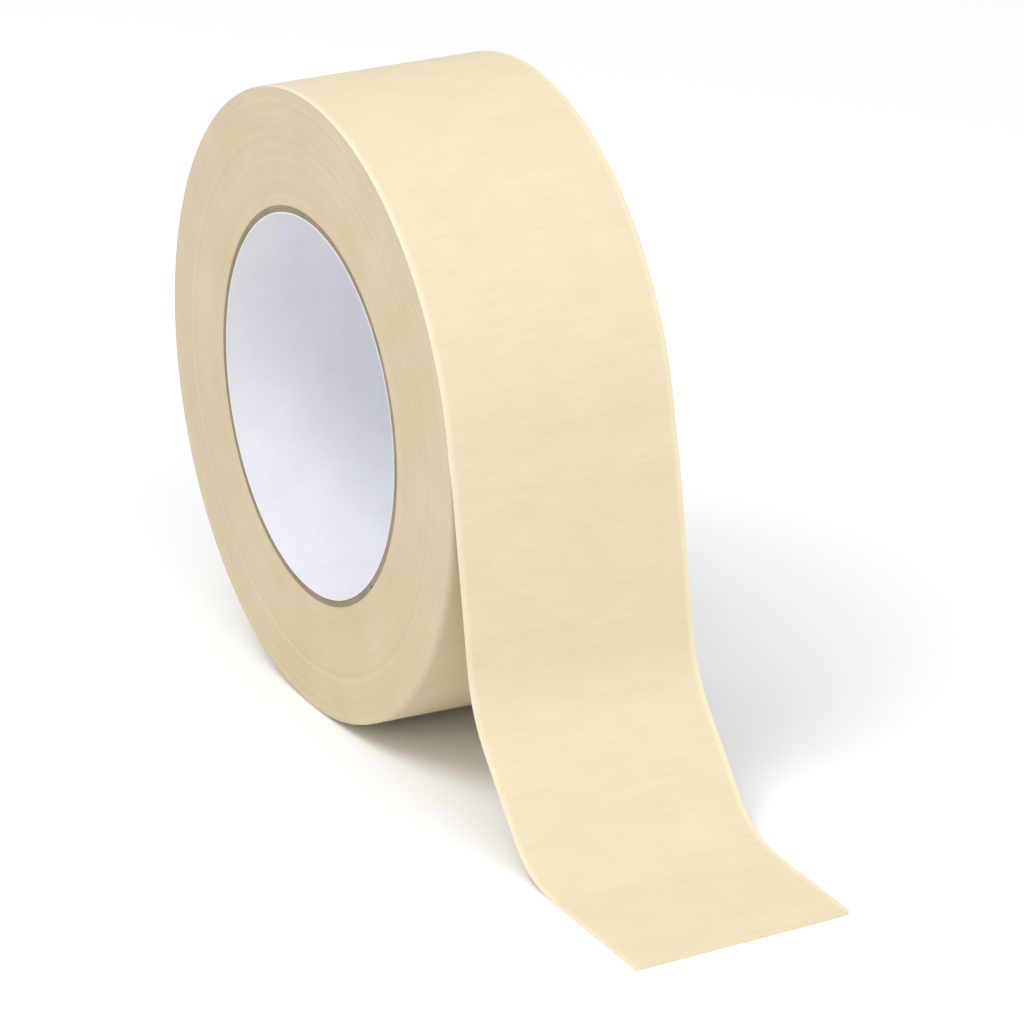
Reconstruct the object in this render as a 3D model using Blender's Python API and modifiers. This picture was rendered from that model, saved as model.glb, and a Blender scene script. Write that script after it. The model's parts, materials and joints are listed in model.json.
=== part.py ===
"""A roll of masking tape standing on its edge, with its loose end run down to the floor.

One strip of crepe paper tape is wound on a card core.  The last turn leaves the roll just above
the middle of its height, drops past the floor side of the roll, bends twice and lies flat.
The core is three paper plies wound on a slant and glued, each closed by a helical butt joint.

Units are metres and +Z is up.  The roll's axis lies along Y, and the origin is the point on the
floor right below the middle of the roll.  The loose end points to +X.
"""

import math

import bpy
from mathutils import Matrix, Vector

# Tape
TAPE_WIDTH = 0.048
TAPE_THICKNESS = 0.00014
ROLL_RADIUS = 0.063

# Core, from the bore outwards
BORE_RADIUS = 0.038
LINER_THICKNESS = 0.0002
BOARD_THICKNESS = 0.00035
WINDING_LEAD = 0.110            # how far a ply's edge runs along the axis in one full turn
BUTT_JOINT = 0.0005             # slit left between a ply's own edges, along the axis

# Loose end, measured between the points where its straight runs would meet
PEEL_ANGLE = math.radians(10.5)     # how far above the middle height the tape leaves the roll
DROP_LENGTH = 0.0504                # from the peel line down to the knee
KNEE_TURN = math.radians(33.5)      # how far the slope leans out from the drop
FOOT_LENGTH = 0.0440                # from the heel to the near end of the cut
CUT_SLANT = 0.0046                  # how much shorter the far edge of the foot is
CUT_CORNER_RADIUS = 0.0025

# Stretches in each run of the loose end, because a rigid piece can't bend
DROP_STRETCHES = 3
SLOPE_STRETCHES = 2
FOOT_STRETCHES = 2

# Fits and fineness
CLEARANCE = 0.0003              # glue line or crease between two pieces that touch
FACETS = 66                     # two more than a multiple of four: a flat facet at the bottom
CORNER_STEPS = 4
CUTTER_MARGIN = 0.02

TAPE_COLOUR = (0.86, 0.78, 0.56, 1.0)
LINER_COLOUR = (0.86, 0.86, 0.88, 1.0)
KRAFT_COLOUR = (0.33, 0.26, 0.18, 1.0)


def clear_scene():
    """Start from an empty file."""
    for old in list(bpy.data.objects):
        bpy.data.objects.remove(old, do_unlink=True)


def new_collection(name):
    """Make a collection in the scene."""
    collection = bpy.data.collections.new(name)
    bpy.context.scene.collection.children.link(collection)
    return collection


def paper(name, colour, roughness):
    """Make a plain material of one colour."""
    material = bpy.data.materials.new(name)
    material.use_nodes = True
    shader = material.node_tree.nodes["Principled BSDF"]
    shader.inputs["Base Color"].default_value = colour
    shader.inputs["Roughness"].default_value = roughness
    shader.inputs["Metallic"].default_value = 0.0
    material.diffuse_color = colour
    return material


def add_object(name, data, collection, material=None, parent=None):
    """Put data in the scene as a named object, under its parent."""
    obj = bpy.data.objects.new(name, data)
    collection.objects.link(obj)
    obj.parent = parent
    if material is not None:
        data.materials.append(material)
    return obj


def corner_radius(flat_radius):
    """Radius to the corners of a regular polygon whose flats are at flat_radius."""
    return flat_radius / math.cos(math.pi / FACETS)


def ring_corners(flat_radius):
    """Corners of the polygon that stands for a circle, in the roll's own plane."""
    radius = corner_radius(flat_radius)
    step = 2.0 * math.pi / FACETS
    return [(radius * math.cos(i * step), radius * math.sin(i * step)) for i in range(FACETS)]


def flat_outline(name, loops, thickness):
    """A 2D curve of closed loops, filled on both sides and as thick as asked."""
    curve = bpy.data.curves.new(name, "CURVE")
    curve.dimensions = "2D"
    curve.fill_mode = "BOTH"
    curve.extrude = thickness / 2.0
    for loop in loops:
        spline = curve.splines.new("POLY")
        spline.points.add(len(loop) - 1)
        spline.use_cyclic_u = True
        for point, (x, y) in zip(spline.points, loop):
            point.co = (x, y, 0.0, 1.0)
    return curve


def ply_layers():
    """Name, inner radius, thickness and colour of each ply, from the bore outwards."""
    layers = []
    radius = BORE_RADIUS
    for name, thickness, colour in (("core_liner", LINER_THICKNESS, LINER_COLOUR),
                                    ("core_inner_ply", BOARD_THICKNESS, KRAFT_COLOUR),
                                    ("core_outer_ply", BOARD_THICKNESS, KRAFT_COLOUR)):
        layers.append((name, radius, thickness, colour))
        radius += thickness + CLEARANCE
    return layers, radius


def add_slab(axle, collection):
    """The two knives that cut the wound core to length, as one box round what they keep."""
    reach = 2.0 * (ROLL_RADIUS + CUTTER_MARGIN)
    bpy.ops.mesh.primitive_cube_add(size=1.0)
    slab = bpy.context.object
    slab.name = "core_length_cutter"
    slab.data.transform(Matrix.Diagonal((reach, reach, TAPE_WIDTH, 1.0)))
    for old in list(slab.users_collection):
        old.objects.unlink(slab)
    collection.objects.link(slab)
    slab.parent = axle
    slab.hide_render = True
    slab.display_type = "WIRE"
    return slab


def add_ply(layer, index, count, axle, slab, collection):
    """One ply: a strip swept along a helix, given its thickness, and cut to the tape's width."""
    name, radius, thickness, colour = layer
    strip = WINDING_LEAD - BUTT_JOINT
    stagger = WINDING_LEAD * index / count
    facet_rise = WINDING_LEAD / FACETS
    steps = math.ceil((TAPE_WIDTH + strip) / facet_rise) + 2
    start = -(TAPE_WIDTH + strip) / 2.0 - facet_rise
    phase = round(stagger / facet_rise)
    turn = 2.0 * math.pi / FACETS

    mesh = bpy.data.meshes.new(name)
    top = (corner_radius(radius), 0.0, start + strip / 2.0)
    bottom = (corner_radius(radius), 0.0, start - strip / 2.0)
    mesh.from_pydata([top, bottom], [(0, 1)], [])
    mesh.transform(Matrix.Rotation(phase * turn, 4, "Z"))
    ply = add_object(name, mesh, collection, paper(name, colour, 0.9), axle)

    sweep = ply.modifiers.new("wind", "SCREW")
    sweep.axis = "Z"
    sweep.angle = steps * turn
    sweep.screw_offset = steps * facet_rise
    sweep.steps = steps
    sweep.render_steps = steps
    sweep.use_merge_vertices = False
    sweep.merge_threshold = 0.00001

    wall = ply.modifiers.new("board", "SOLIDIFY")
    wall.thickness = thickness
    wall.offset = 1.0
    wall.use_even_offset = True

    trim = ply.modifiers.new("cut to length", "BOOLEAN")
    trim.operation = "INTERSECT"
    trim.solver = "EXACT"
    trim.object = slab
    return ply


def add_wound_tape(inner_radius, axle, collection):
    """The wound tape: a thick ring whose lowest facet stands on the floor."""
    loops = [ring_corners(ROLL_RADIUS), ring_corners(inner_radius)]
    outline = flat_outline("wound_tape", loops, TAPE_WIDTH)
    return add_object("wound_tape", outline, collection, paper("wound_tape", TAPE_COLOUR, 0.8), axle)


def leaving_radius():
    """Distance from the roll's axis to the middle of the tape where it leaves the roll."""
    return ROLL_RADIUS + CLEARANCE + TAPE_THICKNESS / 2.0


def slope_length():
    """Length of the slope that brings the foot down onto the floor."""
    peel_height = ROLL_RADIUS + leaving_radius() * math.sin(PEEL_ANGLE)
    knee_height = peel_height - DROP_LENGTH * math.cos(PEEL_ANGLE)
    return (knee_height - TAPE_THICKNESS / 2.0) / math.cos(PEEL_ANGLE + KNEE_TURN)


def loose_stretches():
    """Length of each stretch, and its angle out from straight down."""
    runs = ((DROP_STRETCHES, DROP_LENGTH, PEEL_ANGLE),
            (SLOPE_STRETCHES, slope_length(), PEEL_ANGLE + KNEE_TURN),
            (FOOT_STRETCHES, FOOT_LENGTH, math.pi / 2.0))
    return [(length / count, angle) for count, length, angle in runs for _ in range(count)]


def stretch_outline(length):
    """A rectangle from just past one crease to just before the next."""
    start = CLEARANCE / 2.0
    end = length - CLEARANCE / 2.0
    side = TAPE_WIDTH / 2.0
    return [(start, -side), (end, -side), (end, side), (start, side)]


def cut_end_outline(length):
    """The last stretch: cut off on a slant, with its far corner rounded."""
    start = CLEARANCE / 2.0
    side = TAPE_WIDTH / 2.0
    near = Vector((length, -side))
    far = Vector((length - CUT_SLANT, side))
    along_cut = (near - far).normalized()
    sweep = math.pi - along_cut.angle(Vector((-1.0, 0.0)))
    back = CUT_CORNER_RADIUS * math.tan(sweep / 2.0)
    centre = Vector((far.x - back, side - CUT_CORNER_RADIUS))
    points = [(start, -side), tuple(near)]
    for i in range(CORNER_STEPS + 1):
        angle = math.pi / 2.0 - sweep * (1.0 - i / CORNER_STEPS)
        points.append((centre.x + CUT_CORNER_RADIUS * math.cos(angle),
                       centre.y + CUT_CORNER_RADIUS * math.sin(angle)))
    points.append((start, side))
    return points


def add_loose_end(collection):
    """The chain of stretches, each hinged to the one before it along its own origin."""
    leave = leaving_radius()
    peel_line = bpy.data.objects.new("peel_line", None)
    collection.objects.link(peel_line)
    peel_line.location = (leave * math.cos(PEEL_ANGLE), 0.0,
                          ROLL_RADIUS + leave * math.sin(PEEL_ANGLE))
    material = paper("loose_end", TAPE_COLOUR, 0.8)
    chords = loose_stretches()
    parent = peel_line
    reach = 0.0
    heading = math.pi / 2.0
    for number, (length, new_heading) in enumerate(chords, 1):
        name = "loose_end_%02d" % number
        is_last = number == len(chords)
        loop = cut_end_outline(length) if is_last else stretch_outline(length)
        outline = flat_outline(name, [loop], TAPE_THICKNESS)
        stretch = add_object(name, outline, collection, material, parent)
        stretch.location = (reach, 0.0, 0.0)
        stretch.rotation_euler = (0.0, heading - new_heading, 0.0)
        parent = stretch
        reach = length
        heading = new_heading


def main():
    clear_scene()
    parts = new_collection("masking_tape_roll")
    cutters = new_collection("cutters")
    axle = bpy.data.objects.new("roll_axis", None)
    parts.objects.link(axle)
    axle.location = (0.0, 0.0, ROLL_RADIUS)
    axle.rotation_euler = (math.pi / 2.0, 0.0, 0.0)

    slab = add_slab(axle, cutters)
    layers, core_outside = ply_layers()
    for index, layer in enumerate(layers):
        add_ply(layer, index, len(layers), axle, slab, parts)
    add_wound_tape(core_outside, axle, parts)
    add_loose_end(parts)
    bpy.context.view_layer.update()


main()
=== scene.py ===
# %% [markdown]
# A roll of masking tape is one strip of crepe paper, wound on a card core. The frame holds its
# solids and its joints. This lesson makes the surfaces that are seen: the wound body, the core's
# three plies and the loose end, which is one smooth strip that curves round every joint.

# %% Load the frame
import json
import math

import bmesh
import bpy
import numpy as np
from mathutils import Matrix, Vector


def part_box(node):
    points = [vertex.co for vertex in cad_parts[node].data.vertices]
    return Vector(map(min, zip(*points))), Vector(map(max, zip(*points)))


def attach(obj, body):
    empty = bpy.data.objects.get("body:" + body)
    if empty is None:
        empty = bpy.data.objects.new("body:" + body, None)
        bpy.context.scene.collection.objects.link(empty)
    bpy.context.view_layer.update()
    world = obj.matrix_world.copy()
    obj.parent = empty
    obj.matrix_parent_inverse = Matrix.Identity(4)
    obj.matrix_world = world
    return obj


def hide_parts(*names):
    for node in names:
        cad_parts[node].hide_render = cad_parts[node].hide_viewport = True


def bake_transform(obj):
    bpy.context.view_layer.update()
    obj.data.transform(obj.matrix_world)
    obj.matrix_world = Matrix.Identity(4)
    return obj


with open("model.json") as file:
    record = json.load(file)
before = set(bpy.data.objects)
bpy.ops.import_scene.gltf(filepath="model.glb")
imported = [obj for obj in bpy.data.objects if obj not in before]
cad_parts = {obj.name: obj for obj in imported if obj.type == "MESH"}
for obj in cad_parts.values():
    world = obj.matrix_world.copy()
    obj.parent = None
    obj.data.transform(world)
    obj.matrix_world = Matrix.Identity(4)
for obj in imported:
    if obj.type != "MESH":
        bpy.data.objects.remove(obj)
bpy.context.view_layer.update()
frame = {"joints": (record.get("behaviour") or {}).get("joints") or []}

# %% [markdown]
# Every size starts from the frame. The roll's box gives its radius and width, and the hinge points
# give the line that the loose end follows. The sizes that no box holds are named here: how thick
# the tape is, how far a ply's edge runs along the axis in a turn, and the slant of the cut.

# %% Sizes
MM = 0.001
ROLL_LOW, ROLL_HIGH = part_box("wound_tape")
RADIUS = (ROLL_HIGH.z - ROLL_LOW.z) / 2.0
HEIGHT = (ROLL_HIGH.z + ROLL_LOW.z) / 2.0
WIDTH = ROLL_HIGH.y - ROLL_LOW.y
TAPE = 0.14 * MM
BORE_RADIUS = 38.0 * MM
WINDING_LEAD = 110.0 * MM
CUT_SLANT = 4.6 * MM
CUT_CORNER = 2.5 * MM

HINGES = [np.array(joint["pos_m"]) for joint in frame["joints"]]
BODIES = [joint["child"] for joint in frame["joints"]]
STRIP_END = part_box(BODIES[-1])[1].x
PEEL = HINGES[0]
PEEL_ANGLE = math.atan2(PEEL[2] - HEIGHT, PEEL[0])
print("roll radius %.1f mm, width %.1f mm, %d hinges" % (RADIUS / MM, WIDTH / MM, len(HINGES)))
print("the tape leaves the roll %.1f degrees above the middle" % math.degrees(PEEL_ANGLE))

# %% [markdown]
# The camera stands in front of the loose end and a little above, far away behind a long lens, so
# the roll's side and its tread are both seen with hardly any perspective.

# %% Camera
CAMERA_AZIMUTH = math.radians(63.51)
CAMERA_ELEVATION = math.radians(21.69)
CAMERA_DISTANCE = 26.41 * RADIUS
CAMERA_LENS = 299.3
AIM_RIGHT = 0.2868 * RADIUS
AIM_UP = -0.3877 * RADIUS


def look_from(azimuth, elevation):
    """Unit vector from the object towards a place seen at these angles, 0 being the near side."""
    return Vector((math.sin(azimuth) * math.cos(elevation),
                   -math.cos(azimuth) * math.cos(elevation),
                   math.sin(elevation)))


def aim(obj, place, target):
    """Put obj at place with its -Z axis pointing at target."""
    obj.location = place
    obj.rotation_euler = (Vector(target) - Vector(place)).to_track_quat("-Z", "Y").to_euler()


back = look_from(CAMERA_AZIMUTH, CAMERA_ELEVATION)
across = Vector((math.cos(CAMERA_AZIMUTH), math.sin(CAMERA_AZIMUTH), 0.0))
upward = back.cross(across)
target = Vector((0.0, 0.0, HEIGHT)) + AIM_RIGHT * across + AIM_UP * upward
camera_data = bpy.data.cameras.new("camera")
camera_data.lens = CAMERA_LENS
camera_data.sensor_width = 36.0
camera = bpy.data.objects.new("camera", camera_data)
bpy.context.scene.collection.objects.link(camera)
aim(camera, target + CAMERA_DISTANCE * back, target)
bpy.context.scene.camera = camera
print("camera at", [round(v, 3) for v in camera.location])

# %% [markdown]
# A thing made of paper has no solid colour: it has cloudy fibres and fine ridges. Each of these
# effects is a node group, built once, that puts out plain values. A small builder keeps the node
# code short. The tape's edges also get a painted highlight, a paler line, in the backing material.

# %% Node helpers
def new_group(name, inputs, outputs):
    """A shader node group with float or vector inputs and float outputs."""
    group = bpy.data.node_groups.new(name, "ShaderNodeTree")
    for title, kind, value in inputs:
        socket = group.interface.new_socket(title, in_out="INPUT", socket_type=kind)
        if kind == "NodeSocketFloat":
            socket.default_value = value
    for title in outputs:
        group.interface.new_socket(title, in_out="OUTPUT", socket_type="NodeSocketFloat")
    return group, group.nodes.new("NodeGroupInput"), group.nodes.new("NodeGroupOutput")


def plug(tree, value, socket):
    """Link a node's output to a socket, or set the socket to a plain value."""
    if isinstance(value, bpy.types.NodeSocket):
        tree.links.new(value, socket)
    else:
        socket.default_value = value


def calc(tree, operation, *values):
    """A Math node, and its result."""
    node = tree.nodes.new("ShaderNodeMath")
    node.operation = operation
    for index, value in enumerate(values):
        plug(tree, value, node.inputs[index])
    return node.outputs[0]


def stretch(tree, vector, scale, shift=(0.0, 0.0, 0.0)):
    """A Mapping node that moves and scales a coordinate."""
    node = tree.nodes.new("ShaderNodeMapping")
    plug(tree, vector, node.inputs["Vector"])
    node.inputs["Scale"].default_value = scale
    node.inputs["Location"].default_value = shift
    return node.outputs[0]


def noise(tree, vector, scale, detail=2.0, roughness=0.5):
    """A Noise texture's value, from 0 to 1."""
    node = tree.nodes.new("ShaderNodeTexNoise")
    plug(tree, vector, node.inputs["Vector"])
    node.inputs["Scale"].default_value = scale
    node.inputs["Detail"].default_value = detail
    node.inputs["Roughness"].default_value = roughness
    return node.outputs[0]


def remap(tree, value, low, high, new_low=0.0, new_high=1.0, smooth=False):
    """Carry a value from one range to another, and clamp it there."""
    node = tree.nodes.new("ShaderNodeMapRange")
    node.interpolation_type = "SMOOTHSTEP" if smooth else "LINEAR"
    for socket, number in zip(("Value", "From Min", "From Max", "To Min", "To Max"),
                              (value, low, high, new_low, new_high)):
        plug(tree, number, node.inputs[socket])
    return node.outputs[0]


print("node helpers: new_group, plug, calc, stretch, noise, remap")

# %% [markdown]
# Crepe paper is crinkled while wet, so that it can stretch. Its ridges run straight across the
# tape, a third of a millimetre apart and several millimetres long. Noise that is squeezed along
# the tape gives just that. The coordinate is the tape's own: metres across, metres along.

# %% Crepe ridges and fibres
def build_crepe_group():
    """Height: long noise ridges across the tape plus short fibres. Tone: the same, with clouds."""
    group, entry, out = new_group("crepe_paper", [("Tape", "NodeSocketVector", None)],
                                  ["Height", "Tone"])
    tape = entry.outputs["Tape"]
    ridges = noise(group, stretch(group, tape, (160.0, 2600.0, 1.0)), 1.0, 2.0, 0.55)
    creases = noise(group, stretch(group, tape, (45.0, 700.0, 1.0), (3.0, 7.0, 0.0)), 1.0, 1.0)
    fibres = noise(group, stretch(group, tape, (4200.0, 5200.0, 1.0)), 1.0, 2.0, 0.6)
    clouds = noise(group, stretch(group, tape, (110.0, 130.0, 1.0), (1.0, 4.0, 0.0)), 1.0, 3.0)
    height = calc(group, "ADD", calc(group, "MULTIPLY", ridges, 0.55),
                  calc(group, "MULTIPLY", creases, 0.30))
    height = calc(group, "ADD", height, calc(group, "MULTIPLY", fibres, 0.15))
    tone = calc(group, "ADD", calc(group, "MULTIPLY", clouds, 0.28),
                calc(group, "MULTIPLY", height, 0.72))
    plug(group, height, out.inputs["Height"])
    plug(group, tone, out.inputs["Tone"])
    return group


CREPE = build_crepe_group()
print("crepe group has", len(CREPE.nodes), "nodes")

# %% [markdown]
# Seen from the side the roll is one long spiral: a strip a seventh of a millimetre thick, wound
# some 170 times. The turn number is the radius counted in tape thicknesses, less one for each
# whole turn. Noise along that number gives every turn its own tone, the same all the way round.

# %% Turns seen edge on
def build_turns_group():
    """Height: one ridge for each turn. Tone: a tone for each turn, for each band, and clouds."""
    group, entry, out = new_group("turns_edge_on", [("Place", "NodeSocketVector", None)],
                                  ["Height", "Tone"])
    centred = stretch(group, entry.outputs["Place"], (1.0, 0.0, 1.0), (0.0, 0.0, -HEIGHT))
    length = group.nodes.new("ShaderNodeVectorMath")
    length.operation = "LENGTH"
    plug(group, centred, length.inputs[0])
    radius = length.outputs["Value"]
    split = group.nodes.new("ShaderNodeSeparateXYZ")
    plug(group, centred, split.inputs[0])
    angle = calc(group, "ARCTAN2", split.outputs["Z"], split.outputs["X"])
    turned = calc(group, "DIVIDE", angle, 2.0 * math.pi)
    turn = calc(group, "ADD", calc(group, "DIVIDE", radius, TAPE), turned)

    line = group.nodes.new("ShaderNodeCombineXYZ")
    plug(group, turn, line.inputs["X"])
    each = noise(group, line.outputs[0], 0.9, 2.0, 0.8)
    slow = stretch(group, line.outputs[0], (0.11, 1.0, 1.0), (5.0, 0.0, 0.0))
    bands = noise(group, slow, 1.0, 2.0)
    clouds = noise(group, entry.outputs["Place"], 60.0, 3.0, 0.6)
    specks = noise(group, entry.outputs["Place"], 3500.0, 2.0, 0.6)
    ridge = calc(group, "PINGPONG", turn, 0.5)
    height = calc(group, "ADD", calc(group, "MULTIPLY", ridge, 0.8),
                  calc(group, "MULTIPLY", each, 0.7))
    height = calc(group, "ADD", height, calc(group, "MULTIPLY", specks, 0.35))
    tone = calc(group, "ADD", calc(group, "MULTIPLY", each, 0.35),
                calc(group, "MULTIPLY", bands, 0.35))
    tone = calc(group, "ADD", tone, calc(group, "MULTIPLY", clouds, 0.30))
    plug(group, height, out.inputs["Height"])
    plug(group, tone, out.inputs["Tone"])
    return group


TURNS = build_turns_group()
print("turns group has", len(TURNS.nodes), "nodes")

# %% [markdown]
# The liner and the board plies are plain papers. One group serves both: short fibres that lie
# every way, and slow clouds where the stock is thicker.

# %% Plain paper
def build_stock_group():
    """Height: fine fibres. Tone: fibres and clouds. Place is in metres."""
    group, entry, out = new_group("paper_stock", [("Place", "NodeSocketVector", None)],
                                  ["Height", "Tone"])
    place = entry.outputs["Place"]
    fibres = noise(group, place, 2600.0, 3.0, 0.65)
    long_fibres = noise(group, stretch(group, place, (900.0, 300.0, 900.0)), 1.0, 2.0, 0.6)
    clouds = noise(group, place, 120.0, 3.0, 0.55)
    height = calc(group, "ADD", calc(group, "MULTIPLY", fibres, 0.6),
                  calc(group, "MULTIPLY", long_fibres, 0.4))
    tone = calc(group, "ADD", calc(group, "MULTIPLY", height, 0.5),
                calc(group, "MULTIPLY", clouds, 0.5))
    plug(group, height, out.inputs["Height"])
    plug(group, tone, out.inputs["Tone"])
    return group


STOCK = build_stock_group()
print("stock group has", len(STOCK.nodes), "nodes")

# %% [markdown]
# Each material is a Principled shader whose colour runs between two tones, picked by a group's
# Tone, with a little relief from its Height. Roughness follows the tone, because raised fibres
# scatter more.

# %% Materials
def srgb(red, green, blue):
    """A display colour of 0 to 255 as the linear colour that a shader takes."""
    channels = [c / 255.0 for c in (red, green, blue)]
    linear = [c / 12.92 if c <= 0.04045 else ((c + 0.055) / 1.055) ** 2.4 for c in channels]
    return (*linear, 1.0)


def begin_material(name):
    """A new material with its tree and its Principled shader."""
    material = bpy.data.materials.new(name)
    material.use_nodes = True
    tree = material.node_tree
    return material, tree, tree.nodes["Principled BSDF"]


def place_group(tree, group, socket, coordinate):
    """Put a group in a material and feed it a coordinate."""
    node = tree.nodes.new("ShaderNodeGroup")
    node.node_tree = group
    plug(tree, coordinate, node.inputs[socket])
    return node


def two_tone(tree, factor, dark, light):
    """A colour between dark and light."""
    node = tree.nodes.new("ShaderNodeMix")
    node.data_type = "RGBA"
    plug(tree, factor, node.inputs["Factor"])
    plug(tree, dark, node.inputs[6])
    plug(tree, light, node.inputs[7])
    return node.outputs[2]


def relief(tree, shader, height, depth, strength=1.0):
    """Raise the surface by height times depth."""
    node = tree.nodes.new("ShaderNodeBump")
    node.inputs["Distance"].default_value = depth
    node.inputs["Strength"].default_value = strength
    plug(tree, height, node.inputs["Height"])
    plug(tree, node.outputs["Normal"], shader.inputs["Normal"])


def tape_coordinate(tree):
    """The tape's own coordinate: metres across and metres along."""
    node = tree.nodes.new("ShaderNodeUVMap")
    node.uv_map = "tape"
    return node.outputs["UV"]


def object_coordinate(tree):
    """Metres in the object's own space."""
    return tree.nodes.new("ShaderNodeTexCoord").outputs["Object"]


def make_backing():
    """The outer side of the tape: cream crepe paper, with a painted highlight, a narrow paler line,
    along both edges.
    """
    material, tree, shader = begin_material("crepe_backing")
    tape = tape_coordinate(tree)
    crepe = place_group(tree, CREPE, "Tape", tape)
    split = tree.nodes.new("ShaderNodeSeparateXYZ")
    plug(tree, tape, split.inputs[0])
    from_middle = calc(tree, "ABSOLUTE", split.outputs["X"])
    # Painted highlight: the paler line along both edges stands in for the light that the tape's
    # rounded shoulders catch.
    edge = remap(tree, from_middle, WIDTH / 2.0 - 1.6 * MM, WIDTH / 2.0 - 0.5 * MM, smooth=True)
    tone = remap(tree, crepe.outputs["Tone"], 0.32, 0.68)
    base = two_tone(tree, tone, srgb(213, 199, 166), srgb(222, 209, 178))
    base_with_painted_highlight = two_tone(tree, calc(tree, "MULTIPLY", edge, 0.5), base, srgb(233, 223, 197))
    plug(tree, base_with_painted_highlight, shader.inputs["Base Color"])
    plug(tree, remap(tree, tone, 0.0, 1.0, 0.62, 0.74), shader.inputs["Roughness"])
    shader.inputs["Specular IOR Level"].default_value = 0.35
    relief(tree, shader, crepe.outputs["Height"], 0.05 * MM, 0.55)
    return material


def make_adhesive():
    """The inner side: the same paper under a clear coat of adhesive, so darker and glossier."""
    material, tree, shader = begin_material("adhesive_side")
    crepe = place_group(tree, CREPE, "Tape", tape_coordinate(tree))
    tone = remap(tree, crepe.outputs["Tone"], 0.32, 0.68)
    base = two_tone(tree, tone, srgb(212, 194, 150), srgb(226, 209, 170))
    plug(tree, base, shader.inputs["Base Color"])
    plug(tree, remap(tree, tone, 0.0, 1.0, 0.38, 0.5), shader.inputs["Roughness"])
    shader.inputs["Coat Weight"].default_value = 0.35
    shader.inputs["Coat Roughness"].default_value = 0.3
    relief(tree, shader, crepe.outputs["Height"], 0.05 * MM, 0.35)
    return material


def make_turns():
    """The wound sides: tan between the turns, paler on the turns that stand proud."""
    material, tree, shader = begin_material("turns_edge_on")
    turns = place_group(tree, TURNS, "Place", object_coordinate(tree))
    tone = remap(tree, turns.outputs["Tone"], 0.34, 0.66)
    base = two_tone(tree, tone, srgb(194, 180, 147), srgb(213, 200, 170))
    plug(tree, base, shader.inputs["Base Color"])
    plug(tree, remap(tree, tone, 0.0, 1.0, 0.7, 0.85), shader.inputs["Roughness"])
    shader.inputs["Specular IOR Level"].default_value = 0.3
    relief(tree, shader, turns.outputs["Height"], 0.04 * MM, 0.6)
    return material


def make_stock(name, dark, light, rough, smooth_low, smooth_high):
    """A plain paper or board between two tones."""
    material, tree, shader = begin_material(name)
    stock = place_group(tree, STOCK, "Place", object_coordinate(tree))
    tone = remap(tree, stock.outputs["Tone"], 0.35, 0.65)
    plug(tree, two_tone(tree, tone, dark, light), shader.inputs["Base Color"])
    plug(tree, remap(tree, tone, 0.0, 1.0, smooth_low, smooth_high), shader.inputs["Roughness"])
    shader.inputs["Specular IOR Level"].default_value = 0.4
    relief(tree, shader, stock.outputs["Height"], 0.03 * MM, rough)
    return material


BACKING = make_backing()
ADHESIVE = make_adhesive()
TURN_SIDES = make_turns()
LINER = make_stock("liner_paper", srgb(220, 220, 225), srgb(228, 228, 232), 0.2, 0.5, 0.6)
BOARD = make_stock("board_paper", srgb(132, 119, 98), srgb(160, 146, 122), 0.8, 0.8, 0.92)
print("materials:", [m.name for m in bpy.data.materials])

# %% [markdown]
# Every piece here is a sheet with a thickness: a grid of points for its outer side and one for its
# inner side. A helper joins the two grids round their border into one closed shell, checks by its
# volume that the faces look outwards, and stores the tape coordinate as a UV map.

# %% Shell helper
CREASE_ANGLE = 40.0


def quads(index):
    """The four corners of each cell of a grid of vertex numbers."""
    corners = (index[:-1, :-1], index[1:, :-1], index[1:, 1:], index[:-1, 1:])
    return np.stack([c.ravel() for c in corners], axis=1)


def wall(first, second):
    """Faces between two rows of vertex numbers."""
    corners = (first[:-1], first[1:], second[1:], second[:-1])
    return np.stack(corners, axis=1)


def volume(points, faces):
    """Signed volume under quads: a sixth of the triple products of their two triangles."""
    a, b, c, d = (points[faces[:, i]] for i in range(4))
    triple = (a * np.cross(b, c)).sum() + (a * np.cross(c, d)).sum()
    return triple / 6.0


def shade_with_creases(mesh, degrees):
    """Shade smooth, but keep every edge sharp that turns by more than this."""
    mesh.shade_smooth()
    mesh.set_sharp_from_angle(angle=math.radians(degrees))


def new_piece(name, points, faces, slots, materials, uv=None):
    """A mesh object from arrays of points and quads, its face materials and its UVs."""
    if volume(points, faces) < 0.0:
        faces = faces[:, ::-1]
    mesh = bpy.data.meshes.new(name)
    mesh.from_pydata(points.tolist(), [], faces.tolist())
    for material in materials:
        mesh.materials.append(material)
    mesh.polygons.foreach_set("material_index", slots.astype(np.int32))
    if uv is not None:
        corner = np.empty(len(mesh.loops), np.int32)
        mesh.loops.foreach_get("vertex_index", corner)
        layer = mesh.uv_layers.new(name="tape")
        layer.data.foreach_set("uv", uv[corner].astype(np.float32).ravel())
    shade_with_creases(mesh, CREASE_ANGLE)
    piece = bpy.data.objects.new(name, mesh)
    bpy.context.scene.collection.objects.link(piece)
    print("%-16s %6d faces, %.3f cm3"
          % (name, len(mesh.polygons), abs(volume(points, faces)) * 1e6))
    return piece


def shell(name, outer, inner, materials, uv=None):
    """One closed piece between two grids of points. Materials are for outside, inside and edges."""
    rows, columns = outer.shape[:2]
    points = np.concatenate([outer.reshape(-1, 3), inner.reshape(-1, 3)])
    top = np.arange(rows * columns).reshape(rows, columns)
    low = top + rows * columns
    edges = [wall(top[0], low[0]), wall(low[-1], top[-1]),
             wall(low[:, 0], top[:, 0]), wall(top[:, -1], low[:, -1])]
    groups = [quads(top), quads(low)[:, ::-1], np.concatenate(edges)]
    faces = np.concatenate(groups)
    slots = np.repeat([0, 1, 2], [len(g) for g in groups])
    if uv is not None:
        uv = np.tile(uv.reshape(-1, 2), (2, 1))
    return new_piece(name, points, faces, slots, materials, uv)


print("shell helpers: a crease is an edge that turns by more than %d degrees" % CREASE_ANGLE)

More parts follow.
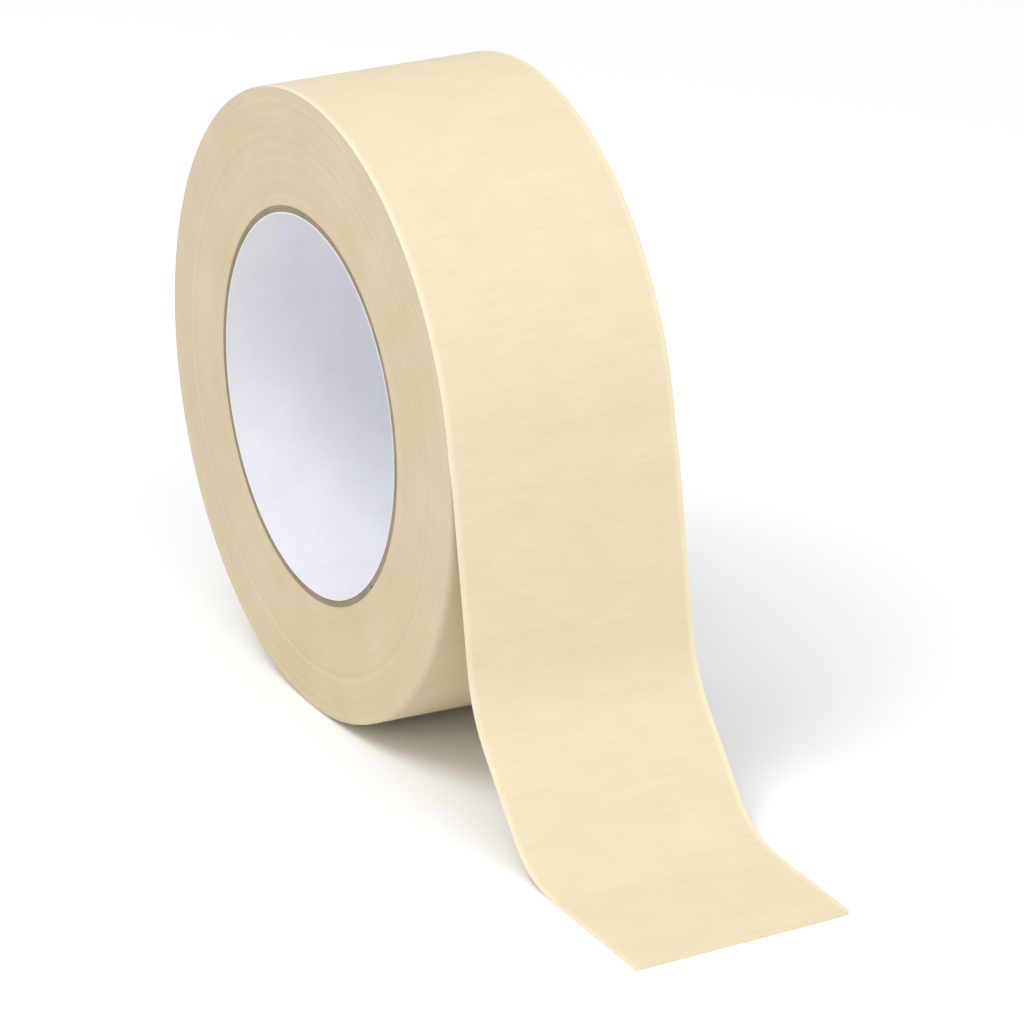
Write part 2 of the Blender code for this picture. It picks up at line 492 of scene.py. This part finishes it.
# %% [markdown]
# The core is three plies of paper: a white liner and two of grey-brown board. Each is a strip
# wound on a slant, so its two edges meet in a helical joint. On a cylinder that is a grid whose
# columns are turned further the further they are along the axis. The joints are staggered.

# %% Core
LINER_WALL = 0.25 * MM
BOARD_WALL = 0.66 * MM
PLY_GAP = 0.01 * MM
JOINT_GAP = 0.3 * MM
JOINT_START = math.radians(-81.8)
ROUND_STEPS = 288
PLY_ROWS = 17
PLY_RECESSES = (0.0, 0.12 * MM, 0.05 * MM)


def ply(name, inner_radius, thickness, joint_angle, recess, materials):
    """A helical ply. Angle = joint + slant x distance from the far end + share of one turn, less
    the joint's gap; height along the axis is the second parameter."""
    half = WIDTH / 2.0 - recess
    along = np.linspace(half, -half, PLY_ROWS)[None, :]
    share = np.linspace(0.0, 1.0, ROUND_STEPS + 1)[:, None]
    gap = JOINT_GAP / inner_radius
    slant = 2.0 * math.pi * (WIDTH / 2.0 - along) / WINDING_LEAD
    angle = joint_angle + slant + gap / 2.0 + share * (2.0 * math.pi - gap)
    sides = []
    for radius in (inner_radius + thickness, inner_radius):
        sides.append(np.stack([radius * np.cos(angle), along + 0.0 * angle,
                               HEIGHT + radius * np.sin(angle)], axis=2))
    return shell(name, sides[0], sides[1], materials)


ply_radius = BORE_RADIUS
for number, (name, node, wall_size, finish) in enumerate((
        ("liner", "core_liner", LINER_WALL, LINER),
        ("inner_board", "core_inner_ply", BOARD_WALL, BOARD),
        ("outer_board", "core_outer_ply", BOARD_WALL, BOARD))):
    piece = ply(name, ply_radius, wall_size, JOINT_START + number * 2.0 * math.pi / 3.0,
                PLY_RECESSES[number], [finish] * 3)
    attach(piece, "roll")
    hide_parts(node)
    ply_radius += wall_size + PLY_GAP
print("the core's wall is %.2f mm" % ((ply_radius - BORE_RADIUS) / MM))

# %% [markdown]
# The wound tape is a thick ring, but not a turned one. Its outside is the last turn of a spiral,
# one tape thickness lower just past the line where the tape leaves. Its flat sides are not flat
# either: the strip wandered a little as it was wound, so bands of turns stand proud.

# %% Wound tape
TURN_COLUMNS = 480
TREAD_ROWS = 25
SIDE_RINGS = 64
SHOULDER = 0.9 * MM
SHOULDER_DROP = 0.13 * MM
WANDER = 0.09 * MM
WANDER_KNOTS = 40
EVEN_KNOTS = 3
MERGE_DISTANCE = 1e-7
CORE_OUTSIDE = ply_radius
random = np.random.default_rng(7)


def smoothstep(x):
    """0 below 0, 1 above 1, and 3x2 - 2x3 between."""
    x = np.clip(x, 0.0, 1.0)
    return x * x * (3.0 - 2.0 * x)


WANDER_RADII = np.linspace(CORE_OUTSIDE, RADIUS, WANDER_KNOTS)
WANDER_STEPS = random.uniform(-1.0, 1.0, WANDER_KNOTS)
WANDER_STEPS[-EVEN_KNOTS:] = 0.0
PROUD_STEPS = random.uniform(0.0, 1.0, WANDER_KNOTS)
PROUD_STEPS[-EVEN_KNOTS:] = 0.0


def side_drop(radius, side):
    """How far a turn lies below the full width: an even wander that both sides share with opposite
    signs, on top of a band that stands proud or not."""
    wandered = np.interp(radius, WANDER_RADII, WANDER_STEPS)
    proud = np.interp(radius, WANDER_RADII, PROUD_STEPS)
    return WANDER * (0.6 * np.abs(wandered) + 0.4 * side * wandered + 0.5 * proud)


def shoulder_drop(y):
    """The outermost turns give way at their edges: nothing until the last millimetre, then a
    parabola down to the full drop at the edge."""
    inside = (np.abs(y) - (WIDTH / 2.0 - SHOULDER)) / SHOULDER
    return SHOULDER_DROP * np.clip(inside, 0.0, 1.0) ** 2


def tread_rows():
    """Places across the tape, closer together at the shoulders."""
    inner = np.linspace(-1.0, 1.0, TREAD_ROWS) * (WIDTH / 2.0 - SHOULDER)
    rim = WIDTH / 2.0 - SHOULDER * np.array([0.0, 0.3, 0.6, 0.8])
    return np.unique(np.concatenate([inner, rim, -rim]).round(7))


def wound_body():
    """The ring's outline, carried round the axis. Outer radius = full radius less one tape
    thickness at the start of the last turn, growing evenly to the full radius at its end."""
    travelled = np.linspace(0.0, 1.0, TURN_COLUMNS + 1)[:, None]
    angle = PEEL_ANGLE - 2.0 * math.pi * travelled
    outside = RADIUS - TAPE * (1.0 - travelled)
    y = tread_rows()
    share = np.linspace(1.0, 0.0, SIDE_RINGS)[None, 1:]
    edge = outside - SHOULDER_DROP
    ring = CORE_OUTSIDE + share * (edge - CORE_OUTSIDE)
    far = WIDTH / 2.0 - side_drop(ring - TAPE * travelled, 1.0)
    near = -WIDTH / 2.0 + side_drop(ring - TAPE * travelled, -1.0)
    radius = np.concatenate([outside - shoulder_drop(y)[None, :], ring, ring[:, ::-1]], axis=1)
    place = np.concatenate([np.tile(y, (TURN_COLUMNS + 1, 1)), far, near[:, ::-1]], axis=1)
    points = np.stack([radius * np.cos(angle), place, HEIGHT + radius * np.sin(angle)], axis=2)
    tape = np.stack([place, np.tile(-RADIUS * 2.0 * math.pi * (1.0 - travelled),
                                    (1, place.shape[1]))], axis=2)
    columns, rows = place.shape
    index = np.arange(columns * rows).reshape(columns, rows)
    index = np.concatenate([index, index[:1]])
    index = np.concatenate([index, index[:, :1]], axis=1)
    faces = quads(index)
    row = np.tile(np.arange(rows), columns)
    slots = np.where(row < len(y) - 1, 0, 1)
    return points.reshape(-1, 3), faces, slots, tape.reshape(-1, 2)


points, faces, slots, tape = wound_body()
body = new_piece("wound_turns", points, faces, slots, [BACKING, TURN_SIDES], tape)
merger = bmesh.new()
merger.from_mesh(body.data)
bmesh.ops.remove_doubles(merger, verts=merger.verts, dist=MERGE_DISTANCE)
print("open edges:", sum(1 for e in merger.edges if not e.is_manifold))
merger.to_mesh(body.data)
merger.free()
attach(body, "roll")
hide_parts("wound_tape")
print("turns on the core:", round((RADIUS - CORE_OUTSIDE) / TAPE))

# %% [markdown]
# The loose end is the same strip, off the roll. The frame holds it as flat stretches with hinges
# between them. A quadratic curve from the middle of one stretch to the middle of the next, pulled
# towards the hinge between them, touches both stretches and has no kink. So each piece spans one
# hinge, curves round it, and meets the next piece in the middle of a stretch, where nothing bends.

# %% Loose end
ALONG = 40
ROOT_LIFT = np.linalg.norm([PEEL[0], PEEL[2] - HEIGHT]) - (RADIUS - TAPE / 2.0)
CORNER_ROWS = 9
ENDS = HINGES[1:] + [np.array([STRIP_END, 0.0, TAPE / 2.0])]
MIDDLES = [(a + b) / 2.0 for a, b in zip(HINGES, ENDS)]


def strip_rows():
    """Places across the strip, closer together near its edges."""
    y = tread_rows()
    corner = WIDTH / 2.0 - CUT_CORNER * (1.0 - np.sin(np.linspace(0.0, math.pi / 2.0, CORNER_ROWS)))
    return np.unique(np.concatenate([y, corner]).round(7))


def centre_line(start, pull, end, share):
    """A quadratic curve: (1-t)2 start + 2t(1-t) pull + t2 end."""
    t = share[:, None]
    return (1.0 - t) ** 2 * start + 2.0 * t * (1.0 - t) * pull + t ** 2 * end


def root_line(share):
    """The first half stretch: straight on from the roll, easing out to the frame's own line."""
    outward = np.array([math.cos(PEEL_ANGLE), 0.0, math.sin(PEEL_ANGLE)])
    run = MIDDLES[0] - PEEL
    base = PEEL - ROOT_LIFT * outward
    return base + share[:, None] * run + ROOT_LIFT * smoothstep(share)[:, None] * outward


def cut_end(y):
    """How far short of the near corner the strip ends: a slant, and a quarter circle at the far
    corner, both measured along the strip."""
    slant = CUT_SLANT * (y / WIDTH + 0.5)
    into = np.clip((y - (WIDTH / 2.0 - CUT_CORNER)) / CUT_CORNER, 0.0, 1.0)
    return slant + CUT_CORNER * (1.0 - np.sqrt(1.0 - into ** 2))


def strip_piece(name, line, travelled, y, shorten=None, shoulders=None):
    """Sweep the strip's width along a centre line. The normal is the line's direction turned a
    quarter; the two sides lie half a thickness either way along it."""
    step = np.gradient(line, axis=0)
    step /= np.linalg.norm(step, axis=1)[:, None]
    normal = np.stack([-step[:, 2], 0.0 * step[:, 0], step[:, 0]], axis=1)
    centre = np.repeat(line[:, None, :], len(y), axis=1)
    along = np.repeat(travelled[:, None], len(y), axis=1)
    if shorten is not None:
        share = (travelled - travelled[0]) / (travelled[-1] - travelled[0])
        pull = share[:, None] ** 2 * shorten[None, :]
        centre -= pull[:, :, None] * step[:, None, :]
        along -= pull
    centre[:, :, 1] = y[None, :]
    rise = np.zeros(along.shape)
    if shoulders is not None:
        rise -= shoulders[:, None] * shoulder_drop(y)[None, :]
    halves = np.array([TAPE / 2.0, -TAPE / 2.0])[:, None, None, None]
    lift = normal[:, None, :] * (rise[:, :, None] + halves)
    uv = np.stack([centre[:, :, 1], along], axis=2)
    return shell(name, centre + lift[0], centre + lift[1], [BACKING, ADHESIVE, BACKING], uv)


def line_length(line):
    """Distance travelled at each point of a line."""
    steps = np.linalg.norm(np.diff(line, axis=0), axis=1)
    return np.concatenate([[0.0], np.cumsum(steps)])


share = np.linspace(0.0, 1.0, ALONG + 1)
y = strip_rows()
line = root_line(share)
gone = line_length(line)
piece = strip_piece("loose_strip_0", line, gone, y, shoulders=1.0 - smoothstep(share))
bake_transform(piece)
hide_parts(BODIES[0])
done = gone[-1]
for number in range(1, len(HINGES)):
    last = number == len(HINGES) - 1
    if last:
        halfway = (MIDDLES[-1] + ENDS[-1]) / 2.0
        line = np.concatenate([centre_line(MIDDLES[-2], HINGES[-1], MIDDLES[-1], share)[:-1],
                               centre_line(MIDDLES[-1], halfway, ENDS[-1], share)])
    else:
        line = centre_line(MIDDLES[number - 1], HINGES[number], MIDDLES[number], share)
    gone = done + line_length(line)
    piece = strip_piece("loose_strip_%d" % number, line, gone, y,
                        shorten=cut_end(y) if last else None)
    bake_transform(piece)
    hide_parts(BODIES[number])
    done = gone[-1]
print("the loose end is %.1f mm long" % (done / MM))

# %% [markdown]
# The setting is a plain white floor under an even, bright sky. One large soft light stands on the
# side of the loose end, so the tread is brightest where it faces that light. A second one, higher
# up on the near side, fills the roll's side.

# %% Floor and light
FLOOR_SIZE = 12.0
floor_material, _, floor_shader = begin_material("floor")
floor_shader.inputs["Base Color"].default_value = (0.9, 0.9, 0.9, 1.0)
floor_shader.inputs["Roughness"].default_value = 0.9
floor_shader.inputs["Specular IOR Level"].default_value = 0.1
bpy.ops.mesh.primitive_plane_add(size=FLOOR_SIZE, location=(0.0, 0.0, 0.0))
floor = bpy.context.object
floor.name = "floor"
floor.data.materials.append(floor_material)

world = bpy.data.worlds.new("pale_sky")
world.use_nodes = True
world.node_tree.nodes["Background"].inputs["Color"].default_value = (0.95, 0.97, 1.0, 1.0)
world.node_tree.nodes["Background"].inputs["Strength"].default_value = 0.76
bpy.context.scene.world = world


def soft_light(name, azimuth, elevation, distance, size, power, colour):
    """A square area light aimed at the roll."""
    data = bpy.data.lights.new(name, "AREA")
    data.shape = "SQUARE"
    data.size = size
    data.energy = power
    data.color = colour
    lamp = bpy.data.objects.new(name, data)
    bpy.context.scene.collection.objects.link(lamp)
    middle = Vector((0.0, 0.0, HEIGHT))
    aim(lamp, middle + distance * look_from(math.radians(azimuth), math.radians(elevation)), middle)
    return lamp


soft_light("key", 80.0, 42.0, 1.6, 1.1, 8.0, (1.0, 0.985, 0.96))
soft_light("fill", 8.0, 60.0, 1.8, 0.9, 14.0, (1.0, 1.0, 1.0))
bpy.context.scene.view_settings.view_transform = "Standard"
print("lights:", [lamp.name for lamp in bpy.data.lights])
